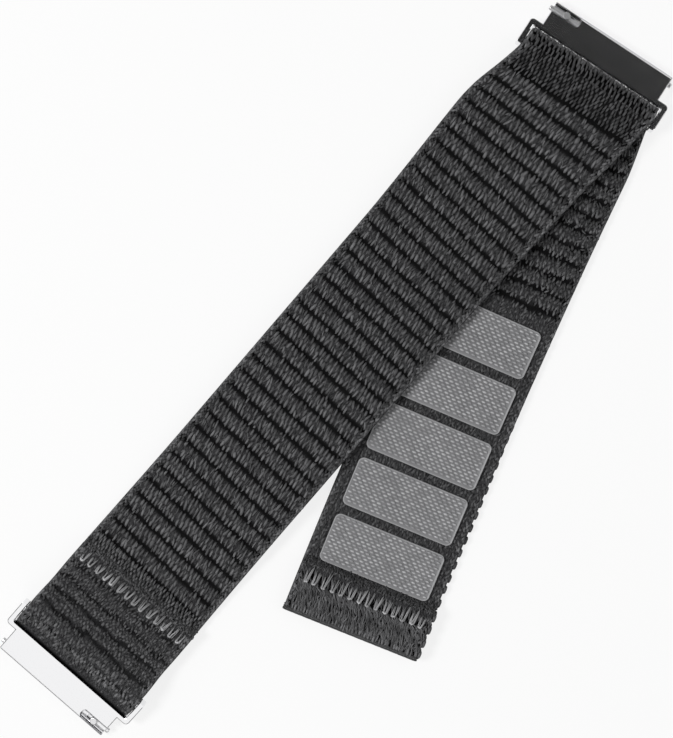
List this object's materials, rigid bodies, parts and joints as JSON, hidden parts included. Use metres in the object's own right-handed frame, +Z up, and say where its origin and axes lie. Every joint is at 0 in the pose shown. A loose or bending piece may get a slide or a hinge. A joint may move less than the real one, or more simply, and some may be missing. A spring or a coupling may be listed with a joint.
{
  "type": "nylon watch strap",
  "caption": "Woven hook and loop watch strap with a fold-back tail and a hinged quick release steel lug adapter at each end.",
  "frame": {"origin": "on the surface that the strap lies on, below the middle of its bounding box", "axes": "+X along the main run to the adapter where the tail folds back, +Y to the side of that adapter's release notch, +Z up out of the skin side"},
  "size_m": [0.1396, 0.0542, 0.0047],
  "materials": {
    "charcoal_nylon": "woven",
    "hook_tape": "matt",
    "stitch_thread": "satin",
    "steel": "satin"
  },
  "bodies": {
    "strap_main": {"webbing_main": "charcoal_nylon", "webbing_bend": "charcoal_nylon", "anchor_stitch": "stitch_thread"},
    "tail": {"webbing_tail": "charcoal_nylon", "hook_pad_1": "hook_tape", "hook_pad_2": "hook_tape", "hook_pad_3": "hook_tape", "hook_pad_4": "hook_tape", "hook_pad_5": "hook_tape", "hem_stitch": "stitch_thread"},
    "loop_end": {"loop_adapter": "steel", "loop_bar_tube": "steel", "loop_fixed_pin": "steel", "loop_bar_spring": "steel"},
    "loop_release": {"loop_sliding_pin": "steel", "loop_release_knob": "steel"},
    "sewn_end": {"sewn_adapter": "steel", "sewn_bar_tube": "steel", "sewn_fixed_pin": "steel", "sewn_bar_spring": "steel"},
    "sewn_release": {"sewn_sliding_pin": "steel", "sewn_release_knob": "steel"}
  },
  "joints": [
    {"name": "tail_peel", "type": "hinge", "parent": "strap_main", "child": "tail", "pos_m": [0.06054, 0.01373, 0.00235], "axis": [0.1392, -0.9903, 0], "range_deg": [0, 70], "deforming": ["webbing_bend"]},
    {"name": "loop_adapter_swivel", "type": "hinge", "parent": "strap_main", "child": "loop_end", "pos_m": [0.06054, 0.01373, 0.00235], "axis": [0.1392, -0.9903, 0], "range_deg": [-10, 60]},
    {"name": "sewn_adapter_swivel", "type": "hinge", "parent": "strap_main", "child": "sewn_end", "pos_m": [-0.06196, 0.01373, 0.00235], "axis": [0, 1, 0], "range_deg": [-50, 60]},
    {"name": "loop_release_slide", "type": "slide", "parent": "loop_end", "child": "loop_release", "axis": [0.1392, -0.9903, 0], "range_m": [0, 0.0009], "stiffness_N_per_m": 120, "springref_m": -0.0006, "deforming": ["loop_bar_spring"]},
    {"name": "sewn_release_slide", "type": "slide", "parent": "sewn_end", "child": "sewn_release", "axis": [0, 1, 0], "range_m": [0, 0.0009], "stiffness_N_per_m": 120, "springref_m": -0.0006, "deforming": ["sewn_bar_spring"]}
  ]
}
